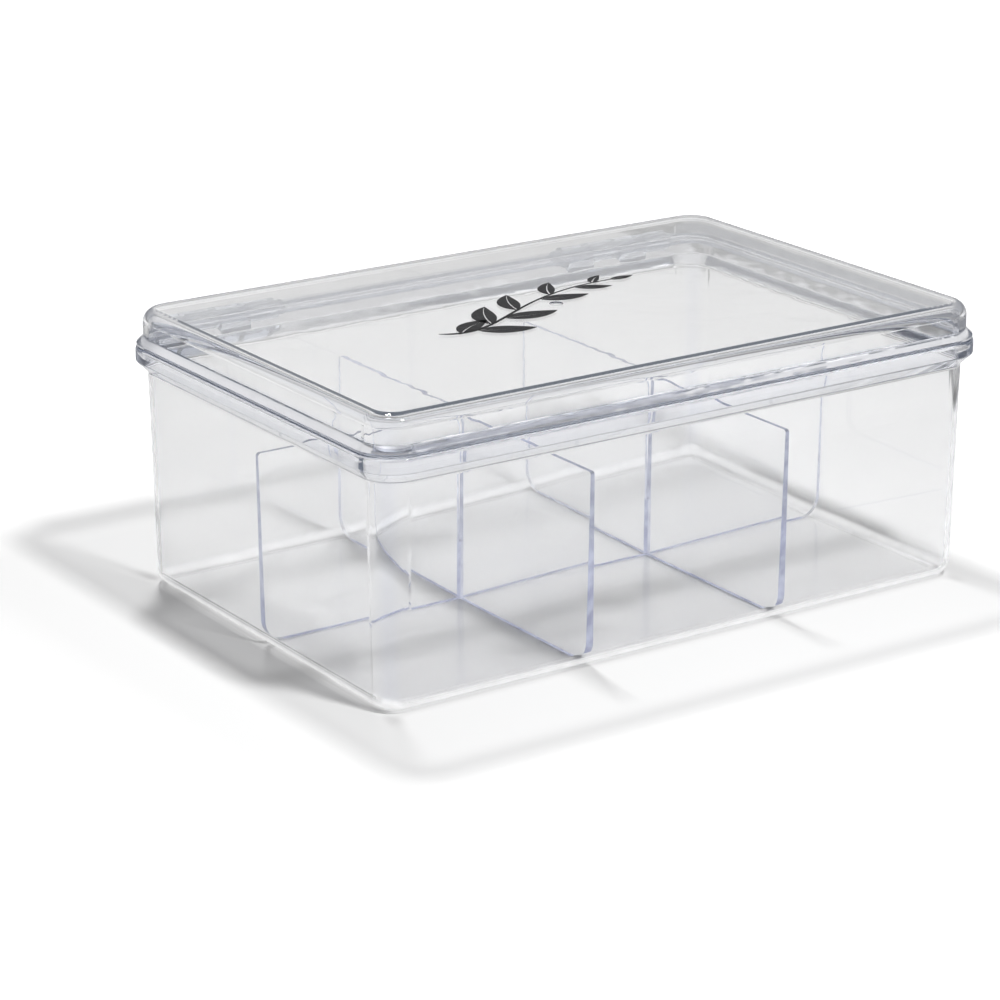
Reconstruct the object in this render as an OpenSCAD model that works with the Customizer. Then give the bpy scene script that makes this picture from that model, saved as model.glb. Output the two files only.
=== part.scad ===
// Clear tea bag box with a hinged lid and a lift-out set of dividers.
// Origin on the surface it stands on, in the middle of the rim; X runs along
// the long side, the hinges are at the back (+Y), Z is up.

/* [Overall] */
// Width across the rim, left to right
rim_w = 228.6; // [150:0.1:320]
// Depth across the rim, front to back
rim_d = 152.4; // [120:0.1:240]
// Height of the tub, up to the rim's top face, where the lid parts from it
rim_z = 79.5; // [62:0.1:110]
// Height of the closed lid above the rim
lid_h = 12; // [9.5:0.1:30]

/* [Base tub] */
// Thickness of the tub's walls
wall = 1.5; // [1.2:0.1:2.6]
// Thickness of the floor
floor_t = 1.2; // [1:0.1:3]
// Lean of the walls, in degrees, so that the tub leaves its mould
lean = 0.9; // [0:0.1:1.5]
// Radius of the tub's upright corners, at the rim
corner_r = 9.5; // [7.5:0.1:16]
// Radius of the edge round the foot
foot_r = 5; // [2:0.1:8]
// Radius inside, where the floor meets the walls
floor_fillet = 4; // [2:0.1:7]

/* [Rim] */
// How far the rim stands out from the walls
rim_out = 3.6; // [3:0.1:5]
// Height of the rim's upright band
rim_band = 4.5; // [3:0.1:6]
// Radius of the rim's upper and lower edges
rim_round = 1; // [0.3:0.1:1.4]
// Height of the locating lip that stands on the rim
lip_h = 2.5; // [1:0.1:3]
// How much thinner the locating lip is than the wall
lip_step = 0.5; // [0.3:0.1:0.8]

/* [Lid] */
// Thickness of the lid's top
lid_top = 2; // [1.4:0.1:3]
// Thickness of the lid's sides
lid_wall = 1.9; // [1.4:0.1:2.2]
// How far the lid's sides stand out from the tub's walls
lid_out = 1.15; // [0.8:0.05:1.6]
// Outer radius of the edge round the lid's top
lid_edge_r = 4.5; // [2.5:0.1:6]
// Height of the flare round the bottom of the lid
flare_h = 3; // [2:0.1:4]
// How far the flare stops short of the rim's outer face
flare_back = 0.4; // [0.2:0.1:0.8]
// Radius of the flare's lower edge
flare_round = 0.6; // [0.2:0.1:0.8]
// Gap between the closed lid and the rim
lid_gap = 0.2; // [0.1:0.05:0.4]
// Width of the moulding mark in the middle of the top
gate_d = 4.4; // [2:0.1:8]
// Depth of that mark
gate_depth = 0.4; // [0.2:0.1:0.8]

/* [Dividers] */
// Height of the dividers above the floor
divider_h = 60.7; // [40:0.1:76]
// Thickness of a divider along its top edge
divider_top_t = 1.4; // [1:0.1:2]
// Thickness of a divider along its bottom edge
divider_foot_t = 2.8; // [1.4:0.1:3.6]
// Distance between the middles of the two cross dividers
cross_pitch = 73.4; // [50:0.1:90]
// Height above the floor at which the half-laps meet
lap_z = 19; // [10:0.5:40]
// How much larger than the floor's fillet the dividers' bottom corners are
divider_corner_more = 3; // [1:0.1:6]
// Gap between a divider's ends and the walls
divider_gap = 0.3; // [0.2:0.05:1]
// Gap on each side of a divider in the slot that it crosses
slot_gap = 0.25; // [0.15:0.05:0.6]

/* [Hinges] */
// Distance of each hinge's outer end from where the rim's corner starts
hinge_inset = 0.2; // [0:0.1:20]
// Outer diameter of the knuckles
knuckle_d = 6.6; // [5:0.1:8]
// Length along the pin that each knuckle has, with its gap
knuckle_pitch = 11; // [8:0.1:14]
// Gap between neighbouring knuckles
knuckle_gap = 0.3; // [0.2:0.05:0.6]
// Diameter of the hinge pins
pin_d = 2.6; // [1.6:0.1:3.2]
// Gap round the pin in the lid's knuckles
pin_gap = 0.06; // [0.02:0.01:0.1]
// Gap round the pin in the tub's knuckles, which hold it
pin_hold_gap = 0.02; // [0.01:0.01:0.04]
// Diameter of a pin's head
pin_head_d = 5; // [4:0.1:6.2]
// Length of a pin's head
pin_head_l = 3.4; // [2:0.1:5]
// Gap between the rim's back face and the knuckles
hinge_gap = 0.4; // [0.3:0.05:0.8]
// Angle at which the open lid stops, in degrees
open_angle = 110; // [90:1:132]
// Gap left between the lid's stop and the rim at that angle
stop_gap = 0.15; // [0.1:0.05:0.3]

/* [Hidden] */
$fn = 96;

eps = 0.01;
slope = tan(lean);
web_past = 0.3;
web_cross = 1.002;
// The upright axes of the four corners
axis_x = rim_w / 2 - rim_out - corner_r;
axis_y = rim_d / 2 - rim_out - corner_r;
// Distances outward from a corner's axis, at a height z
function wall_u(z) = corner_r - (rim_z - z) * slope;
function inside_u(z) = wall_u(z) - wall;
function lid_u(z) = corner_r + lid_out - (z - rim_z) * slope;
rim_u = corner_r + rim_out;
flare_u = rim_u - flare_back;
lip_u = corner_r - lip_step;
foot_round = min(foot_r, wall_u(0) - 1);
floor_round = min(floor_fillet, inside_u(floor_t) - 0.5);
lid_inner_round = max(lid_edge_r - lid_wall, 0.8);
// Heights in the rim and the lid
band_z = rim_z - rim_band;
lid_z = rim_z + lid_gap;
flare_edge = 1;
flare_z = lid_z + flare_h;
lip_z = rim_z + lip_h;
lip_clear = 0.5;
lip_round = 0.4;
edge_round = 0.5;
bead_round = 2;
box_h = rim_z + lid_h;
ceiling_z = box_h - lid_top;
// Dividers
divider_z = floor_t + divider_h;
divider_corner_r = floor_round + divider_corner_more;
divider_edge_r = 1;
draft_per_mm = (divider_foot_t - divider_top_t) / divider_h;
function divider_t(h) = divider_foot_t - h * draft_per_mm;
// Hinges
knuckle_r = knuckle_d / 2;
hinge_y = rim_d / 2 + hinge_gap + knuckle_r;
knuckles = 4;
hinge_l = knuckles * knuckle_pitch;
hinge_x = axis_x - hinge_inset - hinge_l / 2;
stop_r = hinge_gap + knuckle_r - stop_gap;
pin_tip = 1;

// ---- Profile helpers ----

function dir(a) = [cos(a), sin(a)];

// The sliver between a corner at p and the arc of radius r that rounds it;
// a1 and a2 are the directions in which the corner's two edges leave it. It
// runs on past the corner, and its arc crosses the edges at a hair's angle,
// so that it never lies along the faces that it is cut from or added to.
module corner_web(p, a1, a2, r) {
    half = (a2 - a1) / 2;
    inward = dir(a1 + half);
    centre = p + r / sin(half) * inward;
    reach = r / tan(half);
    difference() {
        polygon([p - r * web_past * inward, p + reach * dir(a1), centre,
                 p + reach * dir(a2)]);
        translate(centre) circle(r * web_cross);
    }
}

// Sweeps a profile along the four sides and round the four corners; the
// profile's x is the distance outward from the corners' axes, its y is height
module round_the_box() {
    for (sy = [0, 1]) mirror([0, sy, 0])
        translate([-axis_x, axis_y, 0]) rotate([90, 0, 90])
            linear_extrude(2 * axis_x) children();
    for (sx = [0, 1]) mirror([sx, 0, 0])
        translate([axis_x, axis_y, 0]) rotate([90, 0, 0])
            linear_extrude(2 * axis_y) children();
    for (sx = [0, 1], sy = [0, 1]) mirror([sx, 0, 0]) mirror([0, sy, 0])
        translate([axis_x, axis_y, 0]) rotate_extrude(angle = 90) children();
}

// Fills the field between the corners' axes
module middle_plate(z, t) {
    translate([-axis_x, -axis_y, z]) cube([2 * axis_x, 2 * axis_y, t]);
}

// ---- Tub ----

// The floor and the leaning wall, with the locating lip on top
module tub_wall_profile() {
    foot = [wall_u(0), 0];
    nook = [inside_u(floor_t), floor_t];
    difference() {
        union() {
            polygon([[0, 0], foot, [wall_u(rim_z), rim_z], [lip_u, rim_z], [lip_u, lip_z],
                     [inside_u(lip_z), lip_z], nook, [0, floor_t]]);
            corner_web(nook, 90 - lean, 180, floor_round);
        }
        corner_web(foot, 90 - lean, 180, foot_round);
        corner_web([lip_u, lip_z], 180, 270, lip_round);
    }
}

// The rim's upright band, and the slope under it that runs into the wall
module tub_rim_profile() {
    under = (rim_out + rim_band * slope) / (1 - slope);
    buried = under + wall / 2;
    difference() {
        union() {
            polygon([[rim_u - buried, band_z - buried], [rim_u, band_z], [rim_u, rim_z],
                     [rim_u - buried, rim_z]]);
            corner_web([rim_u - under, band_z - under], -90 - lean, 45, bead_round);
        }
        corner_web([rim_u, rim_z], 180, 270, rim_round);
        corner_web([rim_u, band_z], 90, 225, rim_round);
    }
}

module tub_profile() {
    tub_wall_profile();
    tub_rim_profile();
}

// ---- Hinges ----

// Lays a profile of the hinge, seen from the right with its pin at the origin,
// along knuckle i of the hinge whose middle is at x
module knuckle(x, i) {
    translate([x - hinge_l / 2 + i * knuckle_pitch + knuckle_gap / 2, hinge_y, rim_z])
        rotate([90, 0, 90]) linear_extrude(knuckle_pitch - knuckle_gap) children();
}

module pin_bore(x, gap) {
    translate([x - hinge_l / 2 - eps, hinge_y, rim_z])
        rotate([0, 90, 0]) cylinder(d = pin_d + 2 * gap, h = hinge_l + 2 * eps);
}

// The tub's knuckles hang from the back of its rim, under the parting line
module tub_knuckle_profile() {
    root = rim_u + axis_y - hinge_y - edge_round;
    circle(knuckle_r);
    polygon([[root, -edge_round], [0, -edge_round], [0, edge_round - knuckle_r],
             [root, -rim_band]]);
}

// The lid's knuckles reach out over the parting line, with a square heel that
// meets the back of the rim when the lid is fully open
module lid_knuckle_profile() {
    root = lid_u(flare_z) + axis_y - hinge_y - edge_round;
    circle(knuckle_r);
    polygon([[root, lid_gap + edge_round], [0, lid_gap + edge_round],
             [0, knuckle_r - edge_round], [root, flare_h + lid_gap]]);
    rotate(open_angle) difference() {
        translate([-stop_r, -stop_r]) square(stop_r);
        corner_web([-stop_r, -stop_r], 0, 90, edge_round);
    }
}

module hinge_pin(x) {
    shank_l = hinge_l - pin_tip;
    inner = x > 0 ? -1 : 1;
    color([0.86, 0.88, 0.94, 0.8])
    translate([x + inner * hinge_l / 2, hinge_y, rim_z]) rotate([0, inner * 90, 0]) {
        translate([0, 0, -shank_l]) cylinder(d = pin_d, h = shank_l);
        difference() {
            cylinder(d = pin_head_d, h = pin_head_l);
            rotate_extrude() translate([0, pin_head_l])
                corner_web([pin_head_d / 2, 0], 180, 270, pin_head_d / 4);
        }
    }
}

module tub() {
    color([0.84, 0.86, 0.93, 0.5])
    difference() {
        union() {
            round_the_box() tub_profile();
            middle_plate(0, floor_t);
            for (x = [-hinge_x, hinge_x], i = [0, 2]) knuckle(x, i) tub_knuckle_profile();
        }
        for (x = [-hinge_x, hinge_x]) pin_bore(x, pin_hold_gap);
    }
}

// ---- Lid ----

module lid_profile() {
    crown = [lid_u(box_h), box_h];
    nook = [lid_u(ceiling_z) - lid_wall, ceiling_z];
    sill_z = lip_z + lip_clear;
    difference() {
        union() {
            polygon([[0, ceiling_z], nook, [lid_u(sill_z) - lid_wall, sill_z],
                     [lip_u + lip_clear, sill_z - lid_gap], [lip_u + lip_clear, lid_z],
                     [flare_u, lid_z], [flare_u, lid_z + flare_edge],
                     [lid_u(flare_z), flare_z], crown, [0, box_h]]);
            corner_web(nook, 180, 270 + lean, lid_inner_round);
        }
        corner_web(crown, 180, 270 + lean, lid_edge_r);
        corner_web([flare_u, lid_z], 90, 180, flare_round);
    }
}

module lid() {
    color([0.84, 0.86, 0.93, 0.5])
    difference() {
        union() {
            round_the_box() lid_profile();
            middle_plate(ceiling_z, lid_top);
            for (x = [-hinge_x, hinge_x], i = [1, 3]) knuckle(x, i) lid_knuckle_profile();
        }
        for (x = [-hinge_x, hinge_x]) pin_bore(x, pin_gap);
        translate([0, 0, box_h - gate_depth]) cylinder(d = gate_d, h = gate_depth + eps);
    }
}

// ---- Dividers ----

// A divider's plate: half is half the field between the corners' axes along
// it, and turn lays it along X (0) or along Y (90)
module divider_plate(half, turn) {
    foot_x = half + inside_u(floor_t) - divider_gap;
    top_x = half + inside_u(divider_z) - divider_gap;
    rotate(turn) intersection() {
        rotate([90, 0, 0]) linear_extrude(divider_foot_t + 2, center = true) difference() {
            polygon([[-foot_x, floor_t], [foot_x, floor_t], [top_x, divider_z],
                     [-top_x, divider_z]]);
            for (s = [0, 1]) mirror([s, 0]) {
                corner_web([foot_x, floor_t], 90 - lean, 180, divider_corner_r);
                corner_web([top_x, divider_z], 180, 270 - lean, divider_edge_r);
            }
        }
        rotate([90, 0, 90]) linear_extrude(2 * top_x + 2, center = true)
            polygon([[-divider_foot_t / 2, floor_t], [divider_foot_t / 2, floor_t],
                     [divider_top_t / 2, divider_z], [-divider_top_t / 2, divider_z]]);
    }
}

// The long divider runs left to right and is slotted from above
module long_divider() {
    slot_w = divider_t(lap_z) + 2 * slot_gap;
    color([0.80, 0.83, 0.95, 0.5])
    difference() {
        divider_plate(axis_x, 0);
        for (x = [-cross_pitch / 2, cross_pitch / 2])
            translate([x - slot_w / 2, -divider_foot_t, floor_t + lap_z])
                cube([slot_w, 2 * divider_foot_t, divider_h]);
    }
}

// A cross divider runs front to back and is slotted from below
module cross_divider(x) {
    slot_w = divider_foot_t + 2 * slot_gap;
    color([0.80, 0.83, 0.95, 0.5])
    translate([x, 0, 0]) difference() {
        divider_plate(axis_y, 90);
        translate([-divider_foot_t, -slot_w / 2, floor_t - eps])
            cube([2 * divider_foot_t, slot_w, lap_z + slot_gap + eps]);
    }
}

module left_cross_divider() {
    cross_divider(-cross_pitch / 2);
}

module right_cross_divider() {
    cross_divider(cross_pitch / 2);
}

module left_hinge_pin() {
    hinge_pin(-hinge_x);
}

module right_hinge_pin() {
    hinge_pin(hinge_x);
}

tub();
lid();
long_divider();
left_cross_divider();
right_cross_divider();
left_hinge_pin();
right_hinge_pin();
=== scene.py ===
import math

import bmesh
import bpy
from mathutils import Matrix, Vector


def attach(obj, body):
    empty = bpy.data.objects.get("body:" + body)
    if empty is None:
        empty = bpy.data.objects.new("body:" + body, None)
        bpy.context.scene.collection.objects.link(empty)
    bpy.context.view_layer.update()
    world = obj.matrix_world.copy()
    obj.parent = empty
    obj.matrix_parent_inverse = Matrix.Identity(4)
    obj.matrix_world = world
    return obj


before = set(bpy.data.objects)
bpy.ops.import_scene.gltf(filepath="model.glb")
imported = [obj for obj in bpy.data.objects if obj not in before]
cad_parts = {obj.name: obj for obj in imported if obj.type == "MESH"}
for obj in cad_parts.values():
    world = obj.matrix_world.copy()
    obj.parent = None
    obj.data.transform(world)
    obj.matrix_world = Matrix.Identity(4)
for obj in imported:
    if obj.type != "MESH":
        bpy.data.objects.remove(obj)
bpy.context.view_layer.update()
scene = bpy.context.scene
scene.view_settings.view_transform = "Standard"
WHITE, BLACK = (1, 1, 1), (0, 0, 0)


# ---- Camera and light paths ----

CAMERA_PLACE = (-0.59198, -0.83991, 0.37406)
CAMERA_AZIMUTH, CAMERA_ELEVATION = -34.19, 18.704
LENS, SENSOR = 121.82, 36  # mm
PATH_LENGTH, CLEAR_PASSES = 32, 64  # light passes many walls, one behind the other


def aim(az, el):
    """The unit vector from the box towards a place at this azimuth and elevation, in degrees."""
    a, e = math.radians(az), math.radians(el)
    return Vector((math.sin(a) * math.cos(e), -math.cos(a) * math.cos(e), math.sin(e)))


cam = bpy.data.objects.new("camera", bpy.data.cameras.new("camera"))
scene.collection.objects.link(cam)
cam.data.sensor_width, cam.data.lens = SENSOR, LENS
cam.data.clip_start, cam.data.clip_end = 0.05, 60
cam.location = CAMERA_PLACE
cam.rotation_mode = "QUATERNION"
cam.rotation_quaternion = (-aim(CAMERA_AZIMUTH, CAMERA_ELEVATION)).to_track_quat("-Z", "Y")
scene.camera = cam

scene.cycles.max_bounces = PATH_LENGTH
scene.cycles.transmission_bounces = PATH_LENGTH
scene.cycles.glossy_bounces = PATH_LENGTH
scene.cycles.transparent_max_bounces = CLEAR_PASSES
scene.cycles.caustics_reflective = False
scene.cycles.caustics_refractive = False
scene.cycles.sample_clamp_indirect = 6


# ---- Node helpers ----

def new_material(name):
    m = bpy.data.materials.new(name)
    m.use_nodes = True
    m.node_tree.nodes.clear()
    return m, m.node_tree


def node(nt, kind, **settings):
    """A new node. Settings with a capital are its sockets, with _ for each space in their names."""
    n = nt.nodes.new(kind)
    for key, value in settings.items():
        socket = n.inputs.get(key.replace("_", " ")) if key[0].isupper() else None
        if socket is not None:
            socket.default_value = value
        else:
            setattr(n, key, value)
    return n


def noise(nt, coords, scale, detail=3):
    n = node(nt, "ShaderNodeTexNoise", Scale=scale, Detail=detail)
    nt.links.new(coords, n.inputs["Vector"])
    return n.outputs["Fac"]


def spread(nt, value, first, last, start=0.3, stop=0.7):
    """first while the value is below start, last beyond stop, and evenly between."""
    n = node(nt, "ShaderNodeMapRange", From_Min=start, From_Max=stop, To_Min=first, To_Max=last)
    nt.links.new(value, n.inputs["Value"])
    return n.outputs["Result"]


def chain(nt, operation, values):
    """What the operation makes of these sockets or numbers, one after another."""
    result = values[0]
    for value in values[1:]:
        n = node(nt, "ShaderNodeMath", operation=operation)
        for socket, x in zip(n.inputs, (result, value)):
            if isinstance(x, (int, float)):
                socket.default_value = x
            else:
                nt.links.new(x, socket)
        result = n.outputs[0]
    return result


def times(nt, *values):
    return chain(nt, "MULTIPLY", values)


def total(nt, *values):
    return chain(nt, "ADD", values)


def most(nt, *values):
    return chain(nt, "MAXIMUM", values)


def size_of(nt, value):
    """The value without its sign."""
    n = node(nt, "ShaderNodeMath", operation="ABSOLUTE")
    nt.links.new(value, n.inputs[0])
    return n.outputs[0]


def blend(nt, factor, a, b):
    """The colour between a and b, each of them a socket or three numbers."""
    n = node(nt, "ShaderNodeMix", data_type="RGBA")
    nt.links.new(factor, n.inputs["Factor"])
    for name, colour in (("A", a), ("B", b)):
        if isinstance(colour, tuple):
            n.inputs[name].default_value = (*colour, 1)
        else:
            nt.links.new(colour, n.inputs[name])
    return n.outputs["Result"]


def mix_shaders(nt, factor, a, b):
    n = node(nt, "ShaderNodeMixShader")
    for socket, x in zip(n.inputs, (factor, a, b)):
        nt.links.new(x, socket)
    return n.outputs["Shader"]


def axes(nt, coordinate):
    """X, Y and Z of the place on the piece, for Object, or of the way it faces, for Normal."""
    split = node(nt, "ShaderNodeSeparateXYZ")
    nt.links.new(node(nt, "ShaderNodeTexCoord").outputs[coordinate], split.inputs[0])
    return split.outputs


def along(nt, axis, first, last, start, stop):
    """spread over the places along an axis, in metres."""
    return spread(nt, axes(nt, "Object")[axis], first, last, start, stop)


# ---- Places on the plastic: each is 1 there and 0 elsewhere, and lengths are in metres ----

INSIDE = (("X", 0.1046), ("Y", 0.0665))  # half the flat of the tub's floor
BELOW, FOOT_TOP = -0.01, 0.0045  # heights, as in the next three lines
RIM, RIM_WAVES, PARTING = (0.0735, 0.0825), (0.073, 0.085), (0.0793, 0.0799)
LID_FLARE, TOP_EDGE = (0.079, 0.0835), (0.086, 0.1)
RIGHT_ROOT, BACK_ROOT = (0.0836, 0.0861), (0.0806, 0.0836)
RIGHT_SIDE = (0.1, 0.106)  # in X
KNUCKLE_FRONT = 0.0765  # in Y


def rounded_edges(nt):
    """The rounded edges and corners: the flat faces all lie along an axis."""
    facing = axes(nt, "Normal")
    return spread(nt, most(nt, *(size_of(nt, facing[axis]) for axis in "XYZ")), 1, 0, 0.80, 0.975)


def thin_edges(nt, axis):
    """A plate's narrow faces: its two broad ones look along the axis."""
    return spread(nt, size_of(nt, axes(nt, "Normal")[axis]), 1, 0, 0.4, 0.9)


def upright(nt):
    """The upright faces."""
    return spread(nt, size_of(nt, axes(nt, "Normal")["Z"]), 1, 0, 0.2, 0.6)


def band(nt, low, high, soft=0.0006):
    """What lies between two heights."""
    over = along(nt, "Z", 0, 1, low - soft, low + soft)
    under = along(nt, "Z", 1, 0, high - soft, high + soft)
    return times(nt, over, under)


def back_edge(nt):
    """The rounded edge along the back and the right of the lid's top."""
    far = most(nt, along(nt, "Y", 0, 1, 0.06, 0.066), along(nt, "X", 0, 1, *RIGHT_SIDE))
    tilt = axes(nt, "Normal")["Z"]
    return times(nt, far, band(nt, *TOP_EDGE),
                 spread(nt, tilt, 1, 0, 0.95, 0.99), spread(nt, tilt, 0, 1, 0.3, 0.6))


def flare_root(nt):
    """Where the lid's side bends out into its flare, at the right and, fainter, at the back."""
    right = times(nt, along(nt, "X", 0, 1, *RIGHT_SIDE), band(nt, *RIGHT_ROOT, 0.0003))
    behind = times(nt, along(nt, "Y", 0, 0.35, 0.055, 0.062), band(nt, *BACK_ROOT, 0.0003))
    return most(nt, right, behind)


# Where the lid's dark lines of painted shade go
def lid_shade_lines(nt):
    return most(nt, back_edge(nt), flare_root(nt))


def lid_edges(nt):
    return most(nt, rounded_edges(nt), band(nt, *LID_FLARE))


def tub_edges(nt):
    return most(nt, rounded_edges(nt), band(nt, *RIM))


def foot(nt):
    """Where a white highlight is painted: the rounded foot, and less of the fillet inside it."""
    outside = [spread(nt, size_of(nt, axes(nt, "Object")[axis]), 0.12, 1, half, half + 0.0004)
               for axis, half in INSIDE]
    return times(nt, rounded_edges(nt), band(nt, BELOW, FOOT_TOP), most(nt, *outside))


def tub_floor(nt):
    return band(nt, BELOW, 0.003)


def knuckles(nt):
    return along(nt, "Y", 0, 1, KNUCKLE_FRONT, KNUCKLE_FRONT + 0.0005)


def parting(nt):
    """The two faces that meet, but for a thin gap, where the lid lies on the rim."""
    return band(nt, *PARTING, 0.0001)


# ---- How strong something is over the plastic ----

def tub_loss(nt):
    """The wall just over the foot throws a deep shadow, and the rim a light one."""
    return times(nt, along(nt, "Z", 0.3, 1, 0.002, 0.006), along(nt, "Z", 0.6, 0.25, 0.008, 0.02))


def rim_waves(nt):
    """Deep on the rim, but not on the knuckles."""
    before = along(nt, "Y", 1, 0, KNUCKLE_FRONT - 0.001, KNUCKLE_FRONT)
    return spread(nt, times(nt, band(nt, *RIM_WAVES), before), 0.02, 0.3, 0, 1)


def lid_waves(nt):
    """Slight on the lid's level faces, and deep on its front side."""
    return spread(nt, times(nt, upright(nt), along(nt, "Y", 1, 0.1, 0, 0.04)), 0.04, 0.45, 0, 1)


def painted_edge_light(axis):
    """The lavender light painted along a divider's edges, fainter along its top."""
    def place(nt):
        return times(nt, thin_edges(nt, axis), spread(nt, upright(nt), 0.35, 1, 0, 1))
    return place, 0.62, (0.34, 0.36, 0.50), (0.60, 0.63, 0.78)


# ---- Clear plastic ----

IOR = 1.59
MIRROR_LOSS = 0.8  # the rest of what the walls mirror comes down elsewhere
TRAPPED_DEPTH, TRAPPED_LIGHT = 14, (0.15, 0.17, 0.20)
HAZE_SCALE, GLOW_NOISE_SCALE = 140, 260
TUB_TINT, DIVIDER_TINT = (0.955, 0.962, 0.99), (0.72, 0.75, 0.92)
ABSORBED, ABSORPTION = (0.14, 0.25, 0.75, 1), 2
FROST = 0.14  # added roughness


def clear_plastic(name, edges, waves, wave_scale, rough=0.01, edge_tint=TUB_TINT, loss=0.25, painted_glow=None,
                  frost=None, painted_shades=()):
    """Clear polystyrene. edges(nt) gives where its colour gathers and where it bends light away.

    waves is the strength of its moulding waves, and loss the share of a lamp's light that doesn't come
    straight through such an edge; each is a number or a function. glow is painted light or painted shade:
    an emission over a share of the surface, whatever lies behind it. It gives where, its share, and its
    colours at the faintest and the strongest.
    frost(nt) gives where it is rougher, and the painted shade comes as pairs of a place and its colour there.
    """
    m, nt = new_material(name)
    link = nt.links.new
    coords = node(nt, "ShaderNodeTexCoord").outputs["Object"]
    edge = edges(nt)
    body = node(nt, "ShaderNodeBsdfPrincipled", Transmission_Weight=1, IOR=IOR)
    haze = noise(nt, coords, HAZE_SCALE, 4)
    colour = blend(nt, edge, blend(nt, haze, (0.985, 0.987, 0.99), WHITE), edge_tint)
    # Painted shade: greyer or darker colours laid over these places
    for place, shade_colour in painted_shades:
        colour = blend(nt, place(nt), colour, shade_colour)
    link(colour, body.inputs["Base Color"])
    roughness = spread(nt, haze, rough * 0.5, rough)
    if frost:
        roughness = total(nt, roughness, times(nt, frost(nt), FROST))
    link(roughness, body.inputs["Roughness"])
    bump = node(nt, "ShaderNodeBump", Distance=0.001)
    link(noise(nt, coords, wave_scale, 2), bump.inputs["Height"])
    if callable(waves):
        link(waves(nt), bump.inputs["Strength"])
    else:
        bump.inputs["Strength"].default_value = waves
    link(bump.outputs["Normal"], body.inputs["Normal"])

    # Lamps reach what is behind the plastic, less what its surface mirrors
    leaving = node(nt, "ShaderNodeNewGeometry").outputs["Backfacing"]
    fresnel = node(nt, "ShaderNodeFresnel")
    link(spread(nt, leaving, IOR, 1 / IOR, 0, 1), fresnel.inputs["IOR"])
    straight = blend(nt, times(nt, edge, loss(nt) if callable(loss) else loss), WHITE, BLACK)
    passed = blend(nt, times(nt, fresnel.outputs["Fac"], MIRROR_LOSS), straight, BLACK)
    path = node(nt, "ShaderNodeLightPath")
    surface = body.outputs["BSDF"]
    # Painted light or painted shade: an emission mixed into part of the surface
    if painted_glow:
        where, share, faint, strong = painted_glow
        lit = node(nt, "ShaderNodeEmission")
        uneven = spread(nt, noise(nt, coords, GLOW_NOISE_SCALE, 2), 0, 1, 0.35, 0.65)
        link(blend(nt, uneven, faint, strong), lit.inputs["Color"])
        surface = mix_shaders(nt, times(nt, where(nt), share), surface, lit.outputs[0])
    # Light that has gone to and fro inside the plastic this often leaves it at some far edge
    trapped = node(nt, "ShaderNodeEmission", Color=(*TRAPPED_LIGHT, 1))
    deep = chain(nt, "GREATER_THAN", (path.outputs["Ray Depth"], TRAPPED_DEPTH))
    surface = mix_shaders(nt, deep, surface, trapped.outputs[0])
    for ray in ("Is Diffuse Ray", "Is Shadow Ray"):
        clear = node(nt, "ShaderNodeBsdfTransparent")
        link(passed, clear.inputs["Color"])
        surface = mix_shaders(nt, path.outputs[ray], surface, clear.outputs["BSDF"])
    out = node(nt, "ShaderNodeOutputMaterial")
    link(surface, out.inputs["Surface"])
    depth = node(nt, "ShaderNodeVolumeAbsorption", Color=ABSORBED, Density=ABSORPTION)
    link(depth.outputs["Volume"], out.inputs["Volume"])
    return m


# Painted shade: the knuckles a little greyer, and the faces at the thin gap where the lid lies on the rim
# dark slate
KNUCKLE_AND_GAP_SHADE = ((knuckles, (0.60, 0.63, 0.69)), (parting, (0.32, 0.35, 0.42)))
MOULDING_WAVES, DIVIDER_WAVES = 45, 25  # scales
materials = {
    # Painted highlight: the tub's rounded foot glows white
    "tub": clear_plastic(
        "clear_tub", tub_edges, rim_waves, MOULDING_WAVES, loss=tub_loss,
        painted_glow=(foot, 0.5, (0.9, 0.9, 0.9), WHITE), frost=tub_floor, painted_shades=KNUCKLE_AND_GAP_SHADE),
    # Painted shade: dark grey lines along the lid's back edge and flare root, as glow and as base colour
    "lid": clear_plastic(
        "clear_lid", lid_edges, lid_waves, MOULDING_WAVES,
        painted_glow=(lid_shade_lines, 0.5, (0.22, 0.23, 0.26), (0.30, 0.31, 0.34)),
        painted_shades=(*KNUCKLE_AND_GAP_SHADE, (lid_shade_lines, (0.66, 0.68, 0.72)))),
    # Painted light: a lavender glow along each divider's edges
    "long_divider": clear_plastic(
        "clear_long_divider", lambda nt: thin_edges(nt, "Y"), 0.02, DIVIDER_WAVES,
        edge_tint=DIVIDER_TINT, loss=0.7, painted_glow=painted_edge_light("Y")),
    "cross_divider": clear_plastic(
        "clear_cross_divider", lambda nt: thin_edges(nt, "X"), 0.02, DIVIDER_WAVES,
        edge_tint=DIVIDER_TINT, loss=0.7, painted_glow=painted_edge_light("X")),
    # Painted shade and painted highlight: the pin's rounded edges greyer, with a glow in dark and light
    # streaks
    "hinge_pin": clear_plastic(
        "clear_pin", rounded_edges, 0.0, DIVIDER_WAVES, 0.02,
        painted_glow=(rounded_edges, 0.45, (0.08, 0.09, 0.11), (0.24, 0.25, 0.29)),
        painted_shades=((rounded_edges, (0.40, 0.43, 0.50)),)),
}
for name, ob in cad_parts.items():
    ob.data.materials.clear()
    ob.data.materials.append(next(m for key, m in materials.items() if name.endswith(key)))


# ---- Leaf sprig printed on the lid ----

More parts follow.
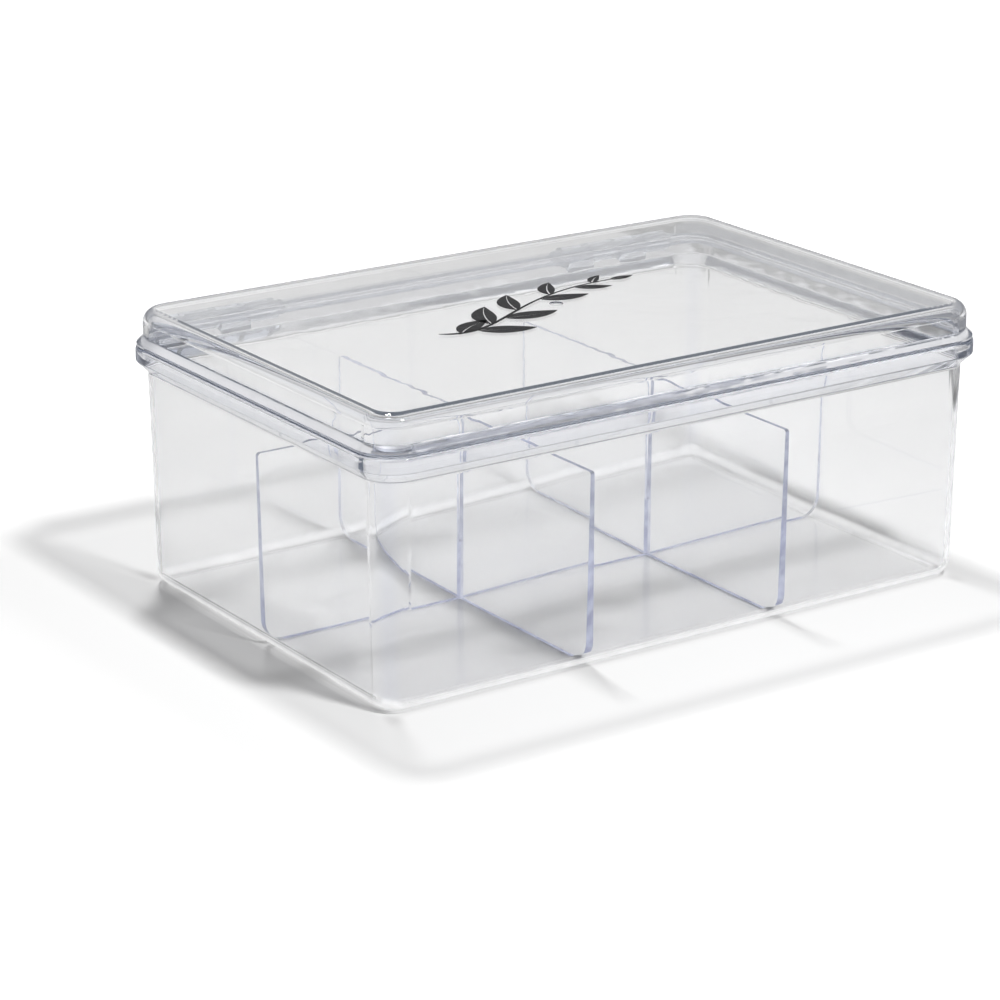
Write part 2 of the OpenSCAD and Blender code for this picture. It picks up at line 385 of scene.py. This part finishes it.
PRINT_FOOT, PRINT_TOP = 0.09145, 0.09158  # 0.05 mm of it lies in the lid's skin
STEM = ((-50, -9), (-33, -23), (-10, 16), (31, 14))  # control points, in mm on the lid's top
LEAVES = (  # place along the stem, side, length, width
    (0.12, 1, 17, 7.6), (0.22, -1, 19, 8.2), (0.34, 1, 20, 8.4), (0.44, -1, 19, 8.2), (0.55, 1, 18, 7.6),
    (0.70, -1, 17, 6.8), (0.76, 1, 14.5, 6.0), (0.87, -1, 12.5, 5.0), (0.94, 1, 9.5, 3.8))
END_LEAF = 9, 3.4  # length, width
LEAF_ANGLE, LEAF_BEND, END_BEND = 50, 28, 8  # degrees
STEM_STEPS, LEAF_STEPS = 60, 24


def strip(bm, pairs):
    """A thin closed solid between two lines on the lid, given as pairs of points in mm."""
    rows = [[bm.verts.new((x / 1000, y / 1000, z)) for x, y in pair for z in (PRINT_FOOT, PRINT_TOP)]
            for pair in pairs]
    for (a, a_top, b, b_top), (c, c_top, d, d_top) in zip(rows, rows[1:]):
        for face in ((a_top, b_top, d_top, c_top), (a, c, d, b), (a, a_top, c_top, c), (b, d, d_top, b_top)):
            bm.faces.new(face)
    for a, a_top, b, b_top in (rows[0], rows[-1]):
        bm.faces.new((a, b, b_top, a_top))


def along_stem(t):
    weights = ((1 - t) ** 3, 3 * t * (1 - t) ** 2, 3 * t * t * (1 - t), t ** 3)
    return Vector([sum(w * p[i] for w, p in zip(weights, STEM)) for i in (0, 1)])


def stem_angle(t):
    ahead = along_stem(min(1, t + 0.001)) - along_stem(max(0, t - 0.001))
    return math.atan2(ahead.y, ahead.x)


def path_from(start, angle, length, bend, count):
    """Points and directions of a bending line, in equal steps."""
    at, rows = Vector(start), []
    for i in range(count + 1):
        a = angle + bend * i / count
        rows.append((at.copy(), a))
        at += Vector((math.cos(a), math.sin(a))) * length / count
    return rows


def ribbon(bm, rows, width):
    """A line whose width goes by width(share of its length)."""
    pairs = []
    for i, (at, a) in enumerate(rows):
        out = Vector((-math.sin(a), math.cos(a))) * width(i / (len(rows) - 1)) / 2
        pairs.append((at + out, at - out))
    strip(bm, pairs)


def leaf(bm, start, angle, length, width, bend):
    """Two halves, with a bare vein between them."""
    rows = path_from(start, angle, length, bend, LEAF_STEPS)
    for side in (1, -1):
        pairs = []
        for i, (at, a) in enumerate(rows):
            t = i / LEAF_STEPS
            half = width / 2 * math.sin(math.pi * t ** 0.85) ** 0.9 * (1 if side > 0 else 0.85) + 0.03
            vein = min(0.01 + 0.28 * (1 - t) ** 0.7, half * 0.5)
            out = Vector((-math.sin(a), math.cos(a))) * side
            pairs.append((at + out * vein, at + out * half))
        strip(bm, pairs)


def print_material():
    m, nt = new_material("black_print")
    coords = node(nt, "ShaderNodeTexCoord").outputs["Object"]
    body = node(nt, "ShaderNodeBsdfPrincipled", Specular_IOR_Level=0.12)
    grain = noise(nt, coords, 900, 4)
    nt.links.new(blend(nt, grain, (0.008, 0.008, 0.009), (0.016, 0.016, 0.018)), body.inputs["Base Color"])
    nt.links.new(spread(nt, grain, 0.45, 0.6), body.inputs["Roughness"])
    bump = node(nt, "ShaderNodeBump", Strength=0.1, Distance=0.0002)
    nt.links.new(grain, bump.inputs["Height"])
    nt.links.new(bump.outputs["Normal"], body.inputs["Normal"])
    out = node(nt, "ShaderNodeOutputMaterial")
    nt.links.new(body.outputs["BSDF"], out.inputs["Surface"])
    return m


def finished(bm, name, material):
    """The bmesh as an object in the scene."""
    mesh = bpy.data.meshes.new(name)
    bm.to_mesh(mesh)
    bm.free()
    mesh.materials.append(material)
    ob = bpy.data.objects.new(name, mesh)
    scene.collection.objects.link(ob)
    return ob


bm = bmesh.new()
ribbon(bm, [(along_stem(i / STEM_STEPS), stem_angle(i / STEM_STEPS)) for i in range(STEM_STEPS + 1)],
       lambda t: (1.5 - t) * min(1, 0.2 + 0.8 * t / 0.06))
for t, side, length, width in LEAVES:
    leaf(bm, along_stem(t), stem_angle(t) + side * math.radians(LEAF_ANGLE), length, width,
         -side * math.radians(LEAF_BEND))
leaf(bm, along_stem(1), stem_angle(1), *END_LEAF, math.radians(END_BEND))
bmesh.ops.recalc_face_normals(bm, faces=bm.faces)
sprig = finished(bm, "leaf_sprig_print", print_material())
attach(sprig, "lid")


# ---- Studio ----

FLOOR_RADIUS, FLOOR_DEPTH = 9, 0.0002  # just under the box
FOOTPRINT = (("X", 0.104), ("Y", 0.066))  # half of the box's own floor


def floor_material():
    m, nt = new_material("pale_floor")
    body = node(nt, "ShaderNodeBsdfPrincipled", Roughness=0.9, Specular_IOR_Level=0)
    # Behind the box and to its right the floor turns greyer a little way off, which only
    # shows through the plastic
    behind = times(nt, along(nt, "Y", 0, 0.45, 0.29, 0.30), along(nt, "Y", 1, 0.65, 0.318, 0.34))
    beside = times(nt, along(nt, "X", 0, 1, 0.277, 0.29), along(nt, "X", 1, 0.6, 0.303, 0.315))
    beyond = most(nt, behind, beside)
    coords = node(nt, "ShaderNodeTexCoord").outputs["Object"]
    paper = blend(nt, noise(nt, coords, 3), (0.85,) * 3, (0.88,) * 3)
    # Painted shade: the front left of the box's own floor lies a little darker
    shaded_corner = times(nt, along(nt, "X", 0, 1, -0.104, -0.102), along(nt, "X", 1, 0.3, -0.03, 0.09),
                   along(nt, "X", 1, 0, 0.102, 0.104), along(nt, "Y", 0, 1, -0.066, -0.064),
                   along(nt, "Y", 1, 0, -0.02, 0.03))
    colour = blend(nt, shaded_corner, blend(nt, beyond, paper, (0.22,) * 3), (0.74, 0.74, 0.75))
    nt.links.new(colour, body.inputs["Base Color"])
    # Painted light: seen straight from the camera it glows up to white beside and behind the box, and away
    # from it all round
    away = most(nt, *(spread(nt, size_of(nt, axes(nt, "Object")[axis]), -half, 2 - half, 0, 2)
                      for axis, half in FOOTPRINT))
    bare = total(nt, 0.10, spread(nt, away, 0, 0.25, 0.05, 0.12), spread(nt, away, 0, 0.8, 0.12, 1.0),
                 times(nt, beyond, 0.65))
    # Painted light: seen any other way it glows lighter inside the box, where what the walls mirror comes
    # down, and far away
    inside = times(nt, along(nt, "X", 0, 1, -0.104, -0.103), along(nt, "X", 1, 0, 0.103, 0.104),
                   along(nt, "Y", 0, 1, -0.03, 0.03), along(nt, "Y", 1, 0, 0.065, 0.066))
    otherwise = total(nt, times(nt, inside, 0.10), spread(nt, away, 0, 0.75, 0.3, 0.7),
                      along(nt, "Y", 0.3, 0, -0.35, -0.12))
    seen = node(nt, "ShaderNodeMix")
    nt.links.new(node(nt, "ShaderNodeLightPath").outputs["Is Camera Ray"], seen.inputs["Factor"])
    nt.links.new(otherwise, seen.inputs["A"])
    nt.links.new(bare, seen.inputs["B"])
    shine = node(nt, "ShaderNodeEmission", Color=(*WHITE, 1))
    nt.links.new(seen.outputs["Result"], shine.inputs["Strength"])
    add = node(nt, "ShaderNodeAddShader")
    nt.links.new(body.outputs["BSDF"], add.inputs[0])
    nt.links.new(shine.outputs[0], add.inputs[1])
    out = node(nt, "ShaderNodeOutputMaterial")
    nt.links.new(add.outputs[0], out.inputs["Surface"])
    return m


bm = bmesh.new()
bmesh.ops.create_circle(bm, cap_ends=True, radius=FLOOR_RADIUS, segments=96)
floor = finished(bm, "floor", floor_material())
floor.location.z = -FLOOR_DEPTH


def soft_box(name, place, size, power):
    """A square lamp that looks at the origin."""
    light = bpy.data.lights.new(name, "AREA")
    light.shape, light.size, light.size_y = "RECTANGLE", size, size
    light.energy = power
    ob = bpy.data.objects.new(name, light)
    ob.location = place
    ob.rotation_mode = "QUATERNION"
    ob.rotation_quaternion = ob.location.to_track_quat("Z", "Y")
    scene.collection.objects.link(ob)


soft_box("front_light", (0.035, -0.50, 0.84), 0.1, 6.6)
soft_box("back_light", (0.055, 0.35, 0.95), 0.11, 5.3)

SKY = ((0.1, 0.3), (0.26, 0.85), (0.42, 0.7), (0.75, 0.3))  # height, grey
PANEL_DIRECTION, PANEL_EDGE, PANEL_LIGHT = (0.5, 0.05, 0.865), (0.93, 0.95), (1.3,) * 3

world = bpy.data.worlds.new("studio")
scene.world = world
world.use_nodes = True
world.cycles_visibility.diffuse = False  # the lamps light the floor, so that the box's shadows stay deep
nt = world.node_tree
nt.nodes.clear()
direction = node(nt, "ShaderNodeTexCoord").outputs["Generated"]
split = node(nt, "ShaderNodeSeparateXYZ")
nt.links.new(direction, split.inputs[0])
ramp = node(nt, "ShaderNodeValToRGB")
for _ in SKY[2:]:
    ramp.color_ramp.elements.new(0.5)
for element, (height, grey) in zip(ramp.color_ramp.elements, SKY):
    element.position, element.color = height, (grey, grey, grey, 1)
nt.links.new(split.outputs["Z"], ramp.inputs["Fac"])
# A broad soft panel overhead, which only shows as highlights on rounded edges
overhead = node(nt, "ShaderNodeVectorMath", operation="DOT_PRODUCT")
nt.links.new(direction, overhead.inputs[0])
overhead.inputs[1].default_value = PANEL_DIRECTION
on_panel = spread(nt, overhead.outputs["Value"], 0, 1, *PANEL_EDGE)
panel = blend(nt, on_panel, ramp.outputs["Color"], PANEL_LIGHT)
around = node(nt, "ShaderNodeBackground")
nt.links.new(panel, around.inputs["Color"])
seen = node(nt, "ShaderNodeBackground", Color=(*WHITE, 1))
path = node(nt, "ShaderNodeLightPath")
sky = mix_shaders(nt, path.outputs["Is Camera Ray"], around.outputs[0], seen.outputs[0])
nt.links.new(sky, node(nt, "ShaderNodeOutputWorld").inputs["Surface"])
